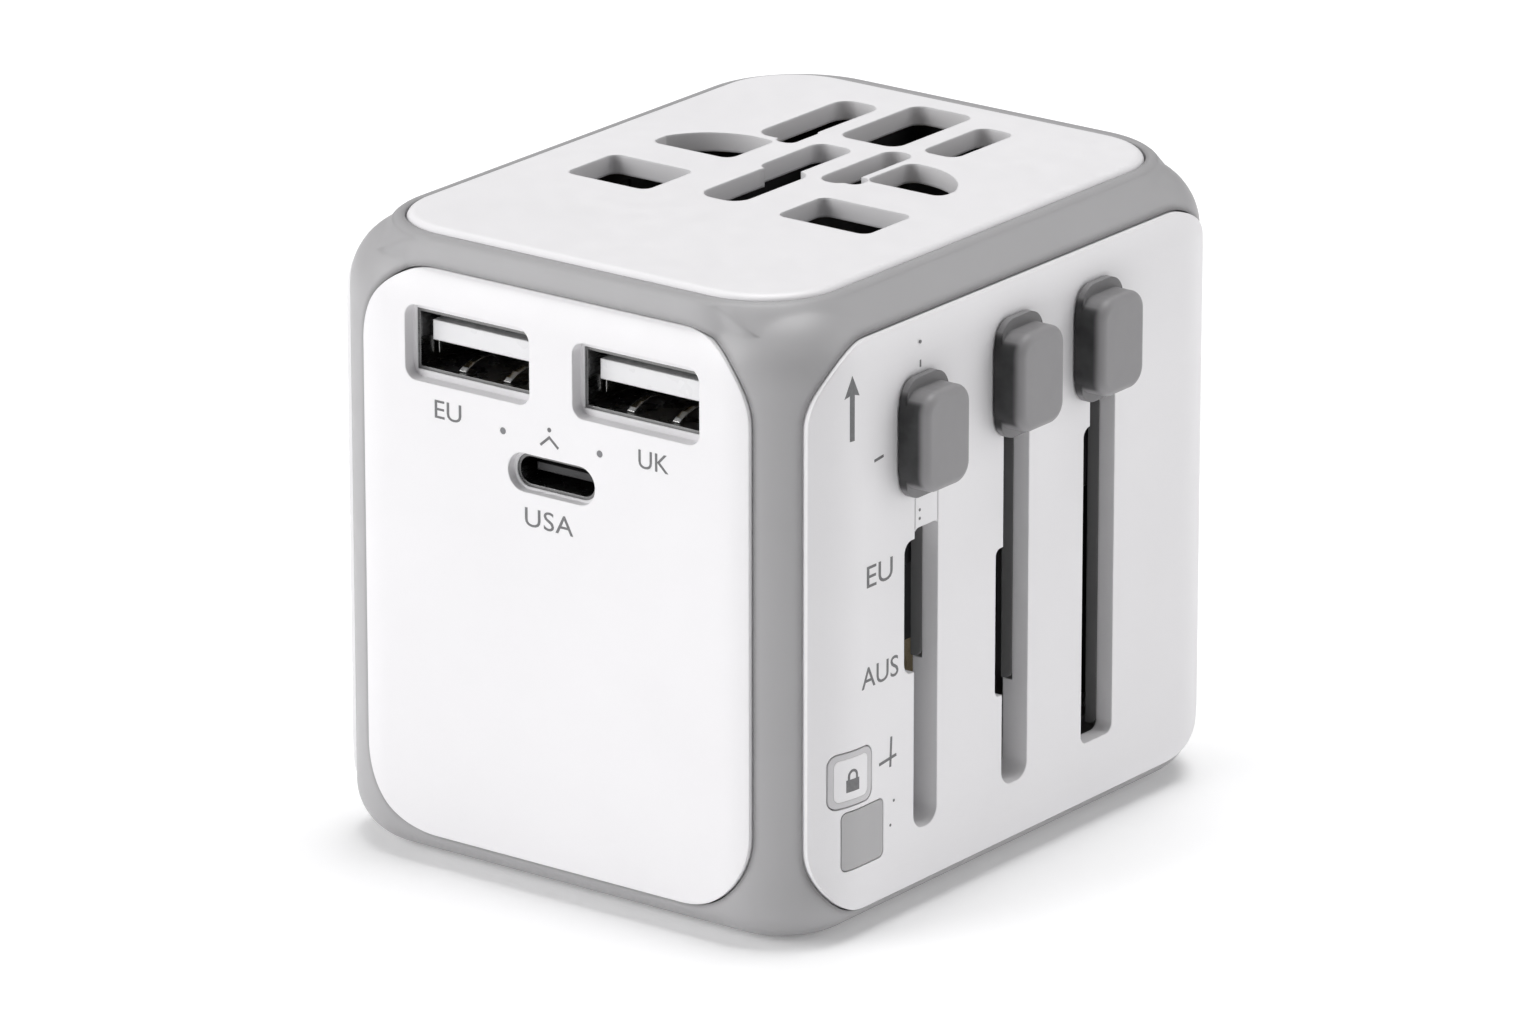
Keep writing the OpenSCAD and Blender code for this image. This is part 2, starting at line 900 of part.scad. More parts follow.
// White filler that closes the slot below the first knob down to a square end, and travels with it
module eu_insert() {
    top = eu_knob_z - stem_h / 2;
    color(panel_white)
        union() {
            on_right(panel_thin + 0.05, panel_face)
                difference() {
                    translate([eu_slot_y - 1.63, 35])
                        square([3.26, top - 35]);
                    round_span(eu_slot_y - 1.75, eu_slot_y + 1.75, 30, insert_end, 0.6);
                }
            box(arm_x1, panel_thin + 0.1, eu_slot_y - 1.2, eu_slot_y + 1.2, 37, top);
        }
}

// Round pin with a domed tip, necked down under its sleeve
module eu_pin(s) {
    tip = 8;
    r = eu_pin_d / 2;
    color(nickel)
        union() {
            rod(s * eu_pitch / 2, eu_y, 18, bar_top - 0.8, 1.6);
            rod(s * eu_pitch / 2, eu_y, tip + r, 18, r);
            translate([s * eu_pitch / 2, eu_y, tip + r])
                sphere(r = r);
        }
}

module eu_live_pin() {
    eu_pin(-1);
}

module eu_neutral_pin() {
    eu_pin(1);
}

module eu_sleeves() {
    color(inner_black)
        for (s = [-1, 1])
            difference() {
                rod(s * eu_pitch / 2, eu_y, 18, bar_z, 1.9);
                rod(s * eu_pitch / 2, eu_y, 17, bar_z + 1, 1.6);
            }
}

module us_knob() {
    slider_knob(us_knob_y, us_knob_z, us_slot_y);
}

module us_carriage() {
    color(inner_black)
        difference() {
            union() {
                box(bar_x0, 18, -9.4, -3.6, bar_z, bar_top);
                for (s = [-1, 1])
                    rod(s * us_pitch / 2, us_y, bar_z, bar_top, 4.2);
                box(15.6, bar_x1, -6, 0.4, bar_z, bar_top);
                slider_arm(us_slot_y, us_knob_z);
            }
            for (s = [-1, 1]) {
                rod(s * us_pitch / 2, us_y, bar_z - 1, bar_top + 1, hub_r + hub_gap);
                rod(s * us_pitch / 2, us_y, bar_top - 1.1, bar_top + 1, 3.7 + hub_gap);
            }
            rod(rod_x, us_y, bar_z - 1, bar_top + 1, rod_r + rod_gap);
        }
}

// Flat blade with a hole near the tip
module us_blade(s) {
    tip = 11.1;
    color(nickel)
        translate([s * us_pitch / 2, us_y, 0])
            difference() {
                intersection() {
                    box(-us_blade_t / 2, us_blade_t / 2, -us_blade_w / 2, us_blade_w / 2, tip, blade_top);
                    rotate([90, 0, 0])
                        linear_extrude(us_blade_w + 1, center = true)
                            polygon([[-0.25, tip], [0.25, tip], [us_blade_t / 2, tip + 1.2],
                                [us_blade_t / 2, 40], [-us_blade_t / 2, 40], [-us_blade_t / 2, tip + 1.2]]);
                }
                translate([-2, 0, tip + 4])
                    rotate([0, 90, 0])
                        cylinder(r = 1.5, h = 4);
            }
}

module us_hub(s) {
    color(inner_black)
        translate([s * us_pitch / 2, us_y, 0])
            difference() {
                union() {
                    rod(0, 0, bar_z, bar_top - 1, hub_r);
                    rod(0, 0, bar_top - 1, bar_top, 3.7);
                }
                box(-us_blade_t / 2, us_blade_t / 2, -us_blade_w / 2, us_blade_w / 2, bar_z - 1, blade_top);
            }
}

module us_live_blade() {
    us_blade(-1);
}

module us_neutral_blade() {
    us_blade(1);
}

module us_live_hub() {
    us_hub(-1);
}

module us_neutral_hub() {
    us_hub(1);
}

module uk_knob() {
    slider_knob(uk_knob_y, uk_knob_z, uk_slot_y);
}

module uk_carriage() {
    color(inner_black)
        difference() {
            union() {
                box(bar_x0, 15, -2, 3.6, bar_z, bar_top);
                box(bar_x0, -14, 3.5, 8.4, bar_z, bar_top);
                box(-4, 4, 3.5, 27.6, bar_z, bar_top);
                box(3.9, bar_x1, 9.2, 14.2, bar_z, bar_top);
                slider_arm(uk_slot_y, uk_knob_z);
            }
            for (s = [-1, 1])
                box(s * uk_pitch / 2 - 2.6, s * uk_pitch / 2 + 2.6, uk_y - 1.6, uk_y + 1.6,
                    bar_z - 1, bar_top - 0.8);
            box(-2, 2, earth_y - 4, earth_y + 4, bar_z - 1, bar_top - 0.8);
            rod(rod_x, 6, bar_z - 1, bar_top + 1, rod_r + rod_gap);
        }
}

// Rectangular bar standing on a chamfered tip
module tapered_bar(w, d, z0, z1) {
    intersection() {
        rotate([90, 0, 0])
            linear_extrude(d, center = true)
                polygon([[1 - w / 2, z0], [w / 2 - 1, z0], [w / 2, z0 + 1.6], [w / 2, z1],
                    [-w / 2, z1], [-w / 2, z0 + 1.6]]);
        rotate([90, 0, 90])
            linear_extrude(w, center = true)
                polygon([[1 - d / 2, z0], [d / 2 - 1, z0], [d / 2, z0 + 1.6], [d / 2, z1],
                    [-d / 2, z1], [-d / 2, z0 + 1.6]]);
    }
}

module uk_pin(s) {
    color(brass)
        translate([s * uk_pitch / 2, uk_y, 0])
            union() {
                tapered_bar(6.35, 4, 9.3, 18.4);
                box(-2.6, 2.6, -1.6, 1.6, 18.3, bar_top - 0.8);
            }
}

module uk_live_pin() {
    uk_pin(1);
}

module uk_neutral_pin() {
    uk_pin(-1);
}

module uk_earth_pin() {
    color(brass)
        translate([0, earth_y, 0])
            tapered_bar(4, 8, 4.3, bar_top - 0.8);
}

module uk_sleeves() {
    color(inner_black)
        for (s = [-1, 1])
            translate([s * uk_pitch / 2, uk_y, 0])
                difference() {
                    box(-3.15, 3.15, -1.95, 1.95, 18.4, bar_z);
                    box(-2.6, 2.6, -1.6, 1.6, 17, bar_z + 1);
                }
}

// ---- Release button and fuse drawer ------------------------------------------------------------

bracket_x = 19.4;
cap_floor = 26.6;

// Push button with its plunger and a shallow seat for the cap
module release_button() {
    color(frame_grey)
        union() {
            difference() {
                intersection() {
                    body_solid(panel_proud);
                    on_right(panel_back + 0.4, half_w + 2)
                        translate([button_y, button_z])
                            round_rect(button_w, button_h, 0.9);
                }
                on_right(cap_floor, half_w + 2)
                    translate([button_y, button_z])
                        round_rect(button_w - 1.1, button_h - 1.1, 0.6);
            }
            translate([bracket_x - 0.4, button_y, button_z])
                rotate([0, 90, 0])
                    cylinder(r = 1, h = panel_back + 0.5 - bracket_x + 0.4);
        }
}

module button_cap() {
    color(panel_white)
        intersection() {
            body_solid(panel_proud);
            on_right(cap_floor, half_w + 2)
                translate([button_y, button_z])
                    round_rect(button_w - 1.1, button_h - 1.1, 0.6);
        }
}

// Wall the button spring pushes against
module button_bracket() {
    color(inner_black)
        difference() {
            union() {
                box(bracket_x - 1.2, bracket_x, button_y - 3, board_y, 13.3, 18.6);
                box(1, bracket_x, -28.2, board_y, 13.1, 13.8);
            }
            translate([bracket_x - 3, button_y, button_z])
                rotate([0, 90, 0])
                    cylinder(r = 1.3, h = 6);
        }
}

// Open coil drawn as a stack of rings
module button_spring() {
    color(nickel)
        for (k = [0 : 4])
            translate([bracket_x + 0.35 + k * 1.2, button_y, button_z])
                rotate([0, 90, 0])
                    rotate_extrude()
                        translate([1.7, 0])
                            circle(r = 0.25);
}

// Channel that guides the fuse drawer
module fuse_holder() {
    color(inner_black)
        difference() {
            box(1, panel_back - 1.4, -28.2, -20.5, 6.3, 13.1);
            box(2.2, panel_back + 1, drawer_y - drawer_w / 2 - 0.1, drawer_y + drawer_w / 2 + 0.1, 7, 12.7);
        }
}

// Two leaf contacts over the fuse
module fuse_clips() {
    color(brass)
        for (x = [5, 19.5])
            box(x, x + 2.4, drawer_y - 1.2, drawer_y + 1.2, 12.35, 12.7);
}

module fuse_drawer() {
    color(frame_grey)
        union() {
            intersection() {
                body_solid(panel_proud);
                on_right(panel_back, half_w + 2)
                    translate([drawer_y, drawer_z])
                        round_rect(drawer_w, drawer_h, 0.55);
            }
            difference() {
                box(3, panel_back + 0.1, drawer_y - 2.65, drawer_y + 2.65, 7.2, 10);
                translate([4, drawer_y, drawer_z + 0.05])
                    rotate([0, 90, 0])
                        cylinder(r = fuse_r, h = 20);
                box(4, 24, drawer_y - fuse_r, drawer_y + fuse_r, drawer_z + 0.05, 11);
            }
        }
}

module fuse_tube() {
    color([0.9, 0.88, 0.82])
        translate([8, drawer_y, drawer_z + 0.05])
            rotate([0, 90, 0])
                cylinder(r = fuse_r - 0.15, h = 12);
}

module fuse_caps() {
    color(nickel)
        for (x = [4, 20])
            translate([x, drawer_y, drawer_z + 0.05])
                rotate([0, 90, 0])
                    cylinder(r = fuse_r, h = 4);
}

// ---- Output ------------------------------------------------------------------------------------

outer_frame();
base_plate();
base_screws();
socket_plate();
front_panel();
slider_panel();
left_panel();
rear_panel();
chassis_deck();
guide_rods();
socket_block();
live_contact();
neutral_contact();
earth_contact();
safety_shutter();
shutter_spring();
main_board();
usb_a_shell_left();
usb_a_shell_right();
usb_a_tongue_left();
usb_a_tongue_right();
usb_a_contacts();
usb_c_shell();
usb_c_tongue();
indicator_pipes();
transformer();
filter_capacitors();
choke();
live_rail();
neutral_rail();
eu_knob();
eu_carriage();
eu_insert();
eu_live_pin();
eu_neutral_pin();
eu_sleeves();
us_knob();
us_carriage();
us_live_blade();
us_live_hub();
us_neutral_blade();
us_neutral_hub();
uk_knob();
uk_carriage();
uk_live_pin();
uk_neutral_pin();
uk_earth_pin();
uk_sleeves();
release_button();
button_cap();
button_spring();
button_bracket();
fuse_holder();
fuse_clips();
fuse_drawer();
fuse_tube();
fuse_caps();
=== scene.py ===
"""Universal travel adapter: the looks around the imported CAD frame.

Metres throughout, in the CAD's own frame: the adapter stands on z = 0, its USB face looks
along -Y and its slider face along +X.
"""

import math

import bmesh
import bpy
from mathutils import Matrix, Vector


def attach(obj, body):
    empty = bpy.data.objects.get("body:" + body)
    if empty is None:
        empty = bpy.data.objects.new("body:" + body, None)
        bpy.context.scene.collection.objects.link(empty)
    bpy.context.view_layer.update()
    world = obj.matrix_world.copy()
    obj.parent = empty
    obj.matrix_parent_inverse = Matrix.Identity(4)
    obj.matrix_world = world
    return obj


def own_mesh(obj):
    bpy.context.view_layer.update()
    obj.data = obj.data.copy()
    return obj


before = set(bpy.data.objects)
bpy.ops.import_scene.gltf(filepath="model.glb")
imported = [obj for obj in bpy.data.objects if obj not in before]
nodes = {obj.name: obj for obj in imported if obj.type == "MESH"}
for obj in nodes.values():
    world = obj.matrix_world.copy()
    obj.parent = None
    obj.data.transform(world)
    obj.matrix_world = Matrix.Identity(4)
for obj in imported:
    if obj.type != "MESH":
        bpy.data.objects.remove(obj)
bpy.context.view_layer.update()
scene = bpy.context.scene

MM = 0.001
MICRON = 0.000001

# The outer skin of the slider face and the USB face, and the radius of the slider face's two
# upright edges, in mm
SKIN_X = 27.6
SKIN_Y = 33.3
EDGE_R = 8.7


# ---- Node helpers ------------------------------------------------------------------------------

# The Mix node's colour sockets share their names with its other kinds, so they go by number
MIX_FACTOR, MIX_FIRST, MIX_SECOND, MIX_RESULT = 0, 6, 7, 2

# A wave texture at scale 1 has one band in this many metres
WAVE_PITCH = 0.314


def new_material(name):
    """A Principled material, its node tree and its shader."""
    material = bpy.data.materials.new(name)
    material.use_nodes = True
    return material, material.node_tree, material.node_tree.nodes["Principled BSDF"]


def add_node(tree, kind, inputs=None, **settings):
    """A node with its settings, and its inputs either linked or set."""
    node = tree.nodes.new(kind)
    for key, value in settings.items():
        setattr(node, key, value)
    for key, value in (inputs or {}).items():
        if isinstance(value, bpy.types.NodeSocket):
            tree.links.new(value, node.inputs[key])
        else:
            node.inputs[key].default_value = value
    return node


def object_space(tree):
    """Metres in the CAD's frame, because a piece's object sits at the origin."""
    return add_node(tree, "ShaderNodeTexCoord").outputs["Object"]


def stretched(tree, vector, scale):
    """The coordinates scaled unevenly, for brushed and layered patterns."""
    return add_node(tree, "ShaderNodeMapping", {"Vector": vector, "Scale": scale}).outputs["Vector"]


def noise(tree, vector, scale, detail=2.0, rough=0.5):
    """Smooth random values around 0.5."""
    return add_node(
        tree,
        "ShaderNodeTexNoise",
        {"Vector": vector, "Scale": scale, "Detail": detail, "Roughness": rough},
    ).outputs["Fac"]


def remap(tree, value, low_in, high_in, low_out, high_out, smooth=False):
    """Carries one range over to another, clamped at both ends."""
    return add_node(
        tree,
        "ShaderNodeMapRange",
        {
            "Value": value,
            "From Min": low_in,
            "From Max": high_in,
            "To Min": low_out,
            "To Max": high_out,
        },
        interpolation_type="SMOOTHSTEP" if smooth else "LINEAR",
    ).outputs["Result"]


def arith(tree, operation, a, b=0.0):
    """A Math node on sockets or plain numbers."""
    node = add_node(tree, "ShaderNodeMath", operation=operation)
    for socket, value in zip(node.inputs, (a, b)):
        if isinstance(value, bpy.types.NodeSocket):
            tree.links.new(value, socket)
        else:
            socket.default_value = value
    return node.outputs[0]


def blended(tree, factor, first, second):
    """Mixes two colours by a factor; either may be a socket or a plain colour."""
    node = add_node(tree, "ShaderNodeMix", data_type="RGBA")
    for key, value in ((MIX_FACTOR, factor), (MIX_FIRST, first), (MIX_SECOND, second)):
        if isinstance(value, bpy.types.NodeSocket):
            tree.links.new(value, node.inputs[key])
        elif key == MIX_FACTOR:
            node.inputs[key].default_value = value
        else:
            node.inputs[key].default_value = (*value, 1.0)
    return node.outputs[MIX_RESULT]


def tint(colour, gain):
    """A colour made lighter or darker."""
    return tuple(c * gain for c in colour)


def skin_normal(tree, heights, soften):
    """Bump layers, each a height and its depth in metres, over edges eased to a small radius."""
    normal = add_node(tree, "ShaderNodeBevel", {"Radius": soften}, samples=5).outputs["Normal"]
    for height, depth in heights:
        normal = add_node(
            tree,
            "ShaderNodeBump",
            {"Height": height, "Distance": depth, "Strength": 1.0, "Normal": normal},
        ).outputs["Normal"]
    return normal


# ---- Materials ---------------------------------------------------------------------------------

def moulded(name, colour, rough=(0.42, 0.5), soften=0.00018, vary=0.012):
    """Satin moulded plastic: faint clouding, a fine spark texture and soft edges."""
    material, tree, shader = new_material(name)
    place = object_space(tree)
    cloud = noise(tree, place, 70, 3)
    grain = noise(tree, place, 7000, 2)
    flow = noise(tree, place, 420, 2)
    shade = remap(tree, cloud, 0.3, 0.7, 0.0, 1.0)
    base = blended(tree, shade, tint(colour, 1 - vary), tint(colour, 1 + vary))
    speck = remap(tree, grain, 0.35, 0.75, 0.0, 0.06)
    tree.links.new(blended(tree, speck, base, tint(colour, 0.86)), shader.inputs["Base Color"])
    tree.links.new(remap(tree, flow, 0.3, 0.7, *rough), shader.inputs["Roughness"])
    bumps = [(flow, 3.5 * MICRON), (grain, 2.2 * MICRON)]
    tree.links.new(skin_normal(tree, bumps, soften), shader.inputs["Normal"])
    return material


def knob_rubber(name, face, flank):
    """Grey knob whose two flanks and foot are a darker grip compound."""
    material, tree, shader = new_material(name)
    coordinates = add_node(tree, "ShaderNodeTexCoord")
    place = coordinates.outputs["Object"]
    within = add_node(tree, "ShaderNodeSeparateXYZ", {"Vector": coordinates.outputs["Generated"]})
    across = arith(tree, "ABSOLUTE", arith(tree, "SUBTRACT", within.outputs["Y"], 0.5))
    side = remap(tree, across, 0.4, 0.47, 0.0, 1.0, smooth=True)
    foot = remap(tree, within.outputs["X"], 0.95, 0.82, 0.0, 1.0, smooth=True)
    dark = arith(tree, "MAXIMUM", arith(tree, "MULTIPLY", side, foot),
                 arith(tree, "MULTIPLY", foot, 0.3))
    cloud = noise(tree, place, 300, 3)
    grain = noise(tree, place, 6500, 2)
    flow = noise(tree, place, 700, 2)
    base = blended(tree, dark, face, flank)
    worn = remap(tree, cloud, 0.35, 0.7, 0.0, 0.12)
    tree.links.new(blended(tree, worn, base, tint(face, 1.1)), shader.inputs["Base Color"])
    tree.links.new(remap(tree, flow, 0.3, 0.7, 0.4, 0.52), shader.inputs["Roughness"])
    shader.inputs["Specular IOR Level"].default_value = 0.4
    bumps = [(flow, 3 * MICRON), (grain, 3 * MICRON)]
    tree.links.new(skin_normal(tree, bumps, 0.0002), shader.inputs["Normal"])
    return material


def metal(name, colour, rough=(0.2, 0.34), lay=(1.0, 1.0, 30.0), soften=0.0001, tarnish=0.25):
    """Plated or drawn metal with a directional lay and a little tarnish."""
    material, tree, shader = new_material(name)
    place = object_space(tree)
    lines = noise(tree, stretched(tree, place, lay), 900, 3)
    bloom = noise(tree, place, 260, 4, 0.6)
    dull = remap(tree, bloom, 0.42, 0.75, 0.0, tarnish)
    tree.links.new(blended(tree, dull, colour, tint(colour, 0.62)), shader.inputs["Base Color"])
    tree.links.new(remap(tree, lines, 0.3, 0.7, *rough), shader.inputs["Roughness"])
    shader.inputs["Metallic"].default_value = 1.0
    tree.links.new(skin_normal(tree, [(lines, 2 * MICRON)], soften), shader.inputs["Normal"])
    return material


def board(name):
    """Green solder mask over faint tracks, with bright pads."""
    material, tree, shader = new_material(name)
    place = object_space(tree)
    tracks = add_node(
        tree,
        "ShaderNodeTexWave",
        {"Vector": place, "Scale": 260.0, "Distortion": 3.0, "Detail": 1.0},
        bands_direction="Z",
    ).outputs["Fac"]
    pads = add_node(
        tree, "ShaderNodeTexVoronoi", {"Vector": place, "Scale": 420.0}
    ).outputs["Distance"]
    mask = blended(tree, remap(tree, tracks, 0.45, 0.55, 0.0, 0.6),
                   (0.012, 0.085, 0.045), (0.03, 0.15, 0.08))
    is_pad = remap(tree, pads, 0.2, 0.16, 0.0, 1.0)
    tree.links.new(blended(tree, is_pad, mask, (0.62, 0.6, 0.55)), shader.inputs["Base Color"])
    tree.links.new(remap(tree, is_pad, 0, 1, 0.34, 0.22), shader.inputs["Roughness"])
    tree.links.new(is_pad, shader.inputs["Metallic"])
    tree.links.new(skin_normal(tree, [(tracks, 20 * MICRON)], 0.0001), shader.inputs["Normal"])
    return material


def banded(name, ground, stripe, pitch, axis, width=0.2, rough=(0.35, 0.5)):
    """Wrapped or sleeved surface: overlapping bands along one axis."""
    material, tree, shader = new_material(name)
    place = object_space(tree)
    bands = add_node(
        tree,
        "ShaderNodeTexWave",
        {"Vector": place, "Scale": WAVE_PITCH / pitch, "Distortion": 0.4, "Detail": 2.0},
        bands_direction=axis,
    ).outputs["Fac"]
    cloud = noise(tree, place, 500, 3)
    base = blended(tree, remap(tree, bands, 1 - width, 1 - width / 2, 0.0, 1.0), ground, stripe)
    dim = remap(tree, cloud, 0.35, 0.7, 0.0, 0.25)
    tree.links.new(blended(tree, dim, base, tint(ground, 0.7)), shader.inputs["Base Color"])
    tree.links.new(remap(tree, cloud, 0.3, 0.7, *rough), shader.inputs["Roughness"])
    tree.links.new(skin_normal(tree, [(bands, 40 * MICRON)], 0.0001), shader.inputs["Normal"])
    return material


def speckled(name, colour, flecks, scale, rough=(0.45, 0.7)):
    """Pressed powder or ceramic: fine flecks and a matt, slightly pitted skin."""
    material, tree, shader = new_material(name)
    place = object_space(tree)
    grain = noise(tree, place, scale, 4, 0.65)
    base = blended(tree, remap(tree, grain, 0.52, 0.68, 0.0, 1.0), colour, flecks)
    tree.links.new(base, shader.inputs["Base Color"])
    tree.links.new(remap(tree, grain, 0.3, 0.7, *rough), shader.inputs["Roughness"])
    tree.links.new(skin_normal(tree, [(grain, 12 * MICRON)], 0.0001), shader.inputs["Normal"])
    return material


def pad_print(name, colour):
    """Screen-printed ink: nearly even, with a ragged film thickness."""
    material, tree, shader = new_material(name)
    place = object_space(tree)
    film = noise(tree, place, 3200, 3, 0.6)
    cover = remap(tree, film, 0.35, 0.7, 0.0, 1.0)
    tree.links.new(
        blended(tree, cover, tint(colour, 0.88), tint(colour, 1.12)),
        shader.inputs["Base Color"],
    )
    tree.links.new(remap(tree, film, 0.3, 0.7, 0.42, 0.56), shader.inputs["Roughness"])
    shader.inputs["Specular IOR Level"].default_value = 0.4
    tree.links.new(
        add_node(tree, "ShaderNodeBump", {"Height": film, "Distance": 3 * MICRON}).outputs["Normal"],
        shader.inputs["Normal"],
    )
    return material


WHITE = (0.845, 0.835, 0.85)
PLATE_WHITE = (0.84, 0.83, 0.845)
GREY = (0.4, 0.395, 0.403)
INK = (0.17, 0.17, 0.175)

panel_white = moulded("panel_white", WHITE)
plate_white = moulded("plate_white", PLATE_WHITE, rough=(0.4, 0.48), soften=0.0003)
frame_grey = moulded("frame_grey", GREY, rough=(0.38, 0.46), vary=0.014, soften=0.0012)
drawer_grey = moulded("drawer_grey", (0.435, 0.43, 0.437), rough=(0.42, 0.5), soften=0.0001)
ring_grey = moulded("ring_grey", (0.6, 0.59, 0.605), rough=(0.42, 0.5))
# Dark grey for the sheets behind the slots: painted shade inside the slots
liner_black = moulded("liner_black", (0.19, 0.19, 0.192), rough=(0.42, 0.55), vary=0.06)
inner_black = moulded("inner_black", (0.016, 0.016, 0.017), rough=(0.45, 0.6), vary=0.1)
shutter_grey = moulded("shutter_grey", (0.05, 0.05, 0.052), rough=(0.4, 0.55), vary=0.05)
knob_grey = knob_rubber("knob_grey", (0.275, 0.27, 0.277), (0.018, 0.018, 0.019))
tongue_white = moulded("tongue_white", (0.8, 0.8, 0.81), rough=(0.25, 0.35), soften=0.00025)
tongue_black = moulded("tongue_black", (0.035, 0.035, 0.037), rough=(0.45, 0.6))
nickel = metal("nickel", (0.72, 0.71, 0.69))
# Dark metal for the USB shells, far below plated nickel: painted shade inside the ports
port_metal_painted_shade = metal("port_metal_painted_shade", (0.2, 0.2, 0.2), rough=(0.22, 0.36), tarnish=0.4)
leaf_metal = metal("leaf_metal", (0.62, 0.62, 0.61), rough=(0.12, 0.2), tarnish=0.3)
steel = metal("steel", (0.56, 0.57, 0.58), rough=(0.28, 0.42), lay=(30.0, 30.0, 1.0))
brass = metal("brass", (0.78, 0.58, 0.26), rough=(0.22, 0.4), lay=(1.0, 30.0, 1.0))
# Brass darkened for the UK pins: painted shade where they show inside the slots
pin_brass_painted_shade = metal("pin_brass_painted_shade", (0.4, 0.33, 0.215), rough=(0.22, 0.4), lay=(1.0, 30.0, 1.0))
gold = metal("contact_gold", (0.83, 0.62, 0.28), rough=(0.15, 0.28), tarnish=0.1)
light_pipe = moulded("light_pipe", (0.2, 0.2, 0.21), rough=(0.12, 0.2), soften=0.0001)
board_green = board("board_green")
winding = banded("winding_tape", (0.6, 0.42, 0.08), (0.34, 0.22, 0.04), 0.0016, "Z")
sleeve = banded("capacitor_sleeve", (0.03, 0.035, 0.05), (0.5, 0.52, 0.54), 0.009, "Y", 0.16)
ferrite = speckled("ferrite", (0.045, 0.045, 0.048), (0.11, 0.11, 0.115), 2600)
ceramic = speckled("ceramic", (0.74, 0.71, 0.64), (0.6, 0.57, 0.5), 1800, (0.35, 0.5))
ink = pad_print("marking_ink", INK)

# What a CAD node gets by the record's material slot, unless its own name is listed below
BY_SLOT = {
    "frame_grey": frame_grey,
    "panel_white": panel_white,
    "knob_grey": knob_grey,
    "inner_black": inner_black,
    "shutter_grey": shutter_grey,
    "steel": steel,
    "nickel": nickel,
    "brass": brass,
    "tongue_white": tongue_white,
    "tongue_black": tongue_black,
    "light_pipe": light_pipe,
    "board_green": board_green,
    "winding_tape": winding,
    "capacitor_sleeve": sleeve,
    "ferrite": ferrite,
    "ceramic": ceramic,
}
BY_NODE = {
    "socket_plate": plate_white,
    "fuse_drawer": drawer_grey,
    "release_button": ring_grey,
    "usb_a_contacts": gold,
    "usb_a_shell_left": port_metal_painted_shade,
    "usb_a_shell_right": port_metal_painted_shade,
    "usb_c_shell": port_metal_painted_shade,
    "uk_live_pin": pin_brass_painted_shade,
    "uk_neutral_pin": pin_brass_painted_shade,
    "uk_earth_pin": pin_brass_painted_shade,
}

for node_name, piece in nodes.items():
    for entry in piece.material_slots:
        family = entry.material.name.split(".")[0]
        entry.material = BY_NODE.get(node_name, BY_SLOT[family])


# ---- Added pieces ------------------------------------------------------------------------------

def add_piece(name, shape, material, body):
    """Turns a bmesh in metres into a piece of the adapter."""
    bmesh.ops.recalc_face_normals(shape, faces=shape.faces)
    mesh = bpy.data.meshes.new(name)
    shape.to_mesh(mesh)
    shape.free()
    mesh.materials.append(material)
    piece = bpy.data.objects.new(name, mesh)
    scene.collection.objects.link(piece)
    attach(piece, body)


# ---- Printed marks -----------------------------------------------------------------------------

# How far a mark stands out of its surface and reaches into it, in mm
FILM_RISE = 0.02
FILM_ROOT = 0.06

# A corner's mitre reaches at most half its line's width divided by this
MITRE_FLOOR = 0.3

# The middle of the first slot, in mm
FIRST_SLOT_Y = -16.1


def on_front(across, up, lift):
    """A point over the USB face."""
    return (across, -SKIN_Y - lift, up)


def on_right(across, up, lift):
    """A point over the slider face, which rounds back near its two upright edges."""
    turn = max(0.0, abs(across) - (SKIN_Y - EDGE_R))
    drop = EDGE_R - math.sqrt(EDGE_R**2 - turn**2)
    return (SKIN_X - drop + lift, across, up)


def printed(name, flat, surface, body="body"):
    """Turns a flat bmesh (across, up) in mm into a thin closed film lying on a surface."""
    made = bmesh.ops.extrude_face_region(flat, geom=list(flat.faces))
    raised = {v for v in made["geom"] if isinstance(v, bmesh.types.BMVert)}
    for v in flat.verts:
        lift = FILM_RISE if v in raised else -FILM_ROOT
        v.co = Vector(surface(v.co.x, v.co.y, lift)) * MM
    add_piece(name, flat, ink, body)


def polygons(outlines, cuts=0):
    """A flat bmesh of simple polygons, cut finer if asked, for a surface that curves."""
    flat = bmesh.new()
    for outline in outlines:
        flat.faces.new([flat.verts.new((x, y, 0)) for x, y in outline])
    if cuts:
        flat.normal_update()
        bmesh.ops.triangulate(flat, faces=flat.faces)
        bmesh.ops.subdivide_edges(flat, edges=flat.edges, cuts=cuts, use_grid_fill=True)
    return flat


def strip(points, width):
    """A polyline of an even width as a row of quads, mitred at its corners."""
    points = [Vector(p) for p in points]
    left, right = [], []
    for i, p in enumerate(points):
        before = (p - points[i - 1]).normalized() if i else (points[1] - p).normalized()
        after = (points[i + 1] - p).normalized() if i < len(points) - 1 else before
        along = (before + after).normalized()
        reach = width / 2 / max(MITRE_FLOOR, along.dot(before))
        offset = Vector((-along.y, along.x)) * reach
        left.append(tuple(p + offset))
        right.append(tuple(p - offset))
    return [(left[i], left[i + 1], right[i + 1], right[i]) for i in range(len(points) - 1)]


def arc(cx, cy, r, start, end, steps):
    """Points along an arc, both ends included, with its angles in degrees."""
    turns = [math.radians(start + (end - start) * k / steps) for k in range(steps + 1)]
    return [(cx + r * math.cos(turn), cy + r * math.sin(turn)) for turn in turns]


def disc(cx, cy, r, sides=14):
    """The outline of a dot."""
    return arc(cx, cy, r, 0, 360, sides)[:-1]


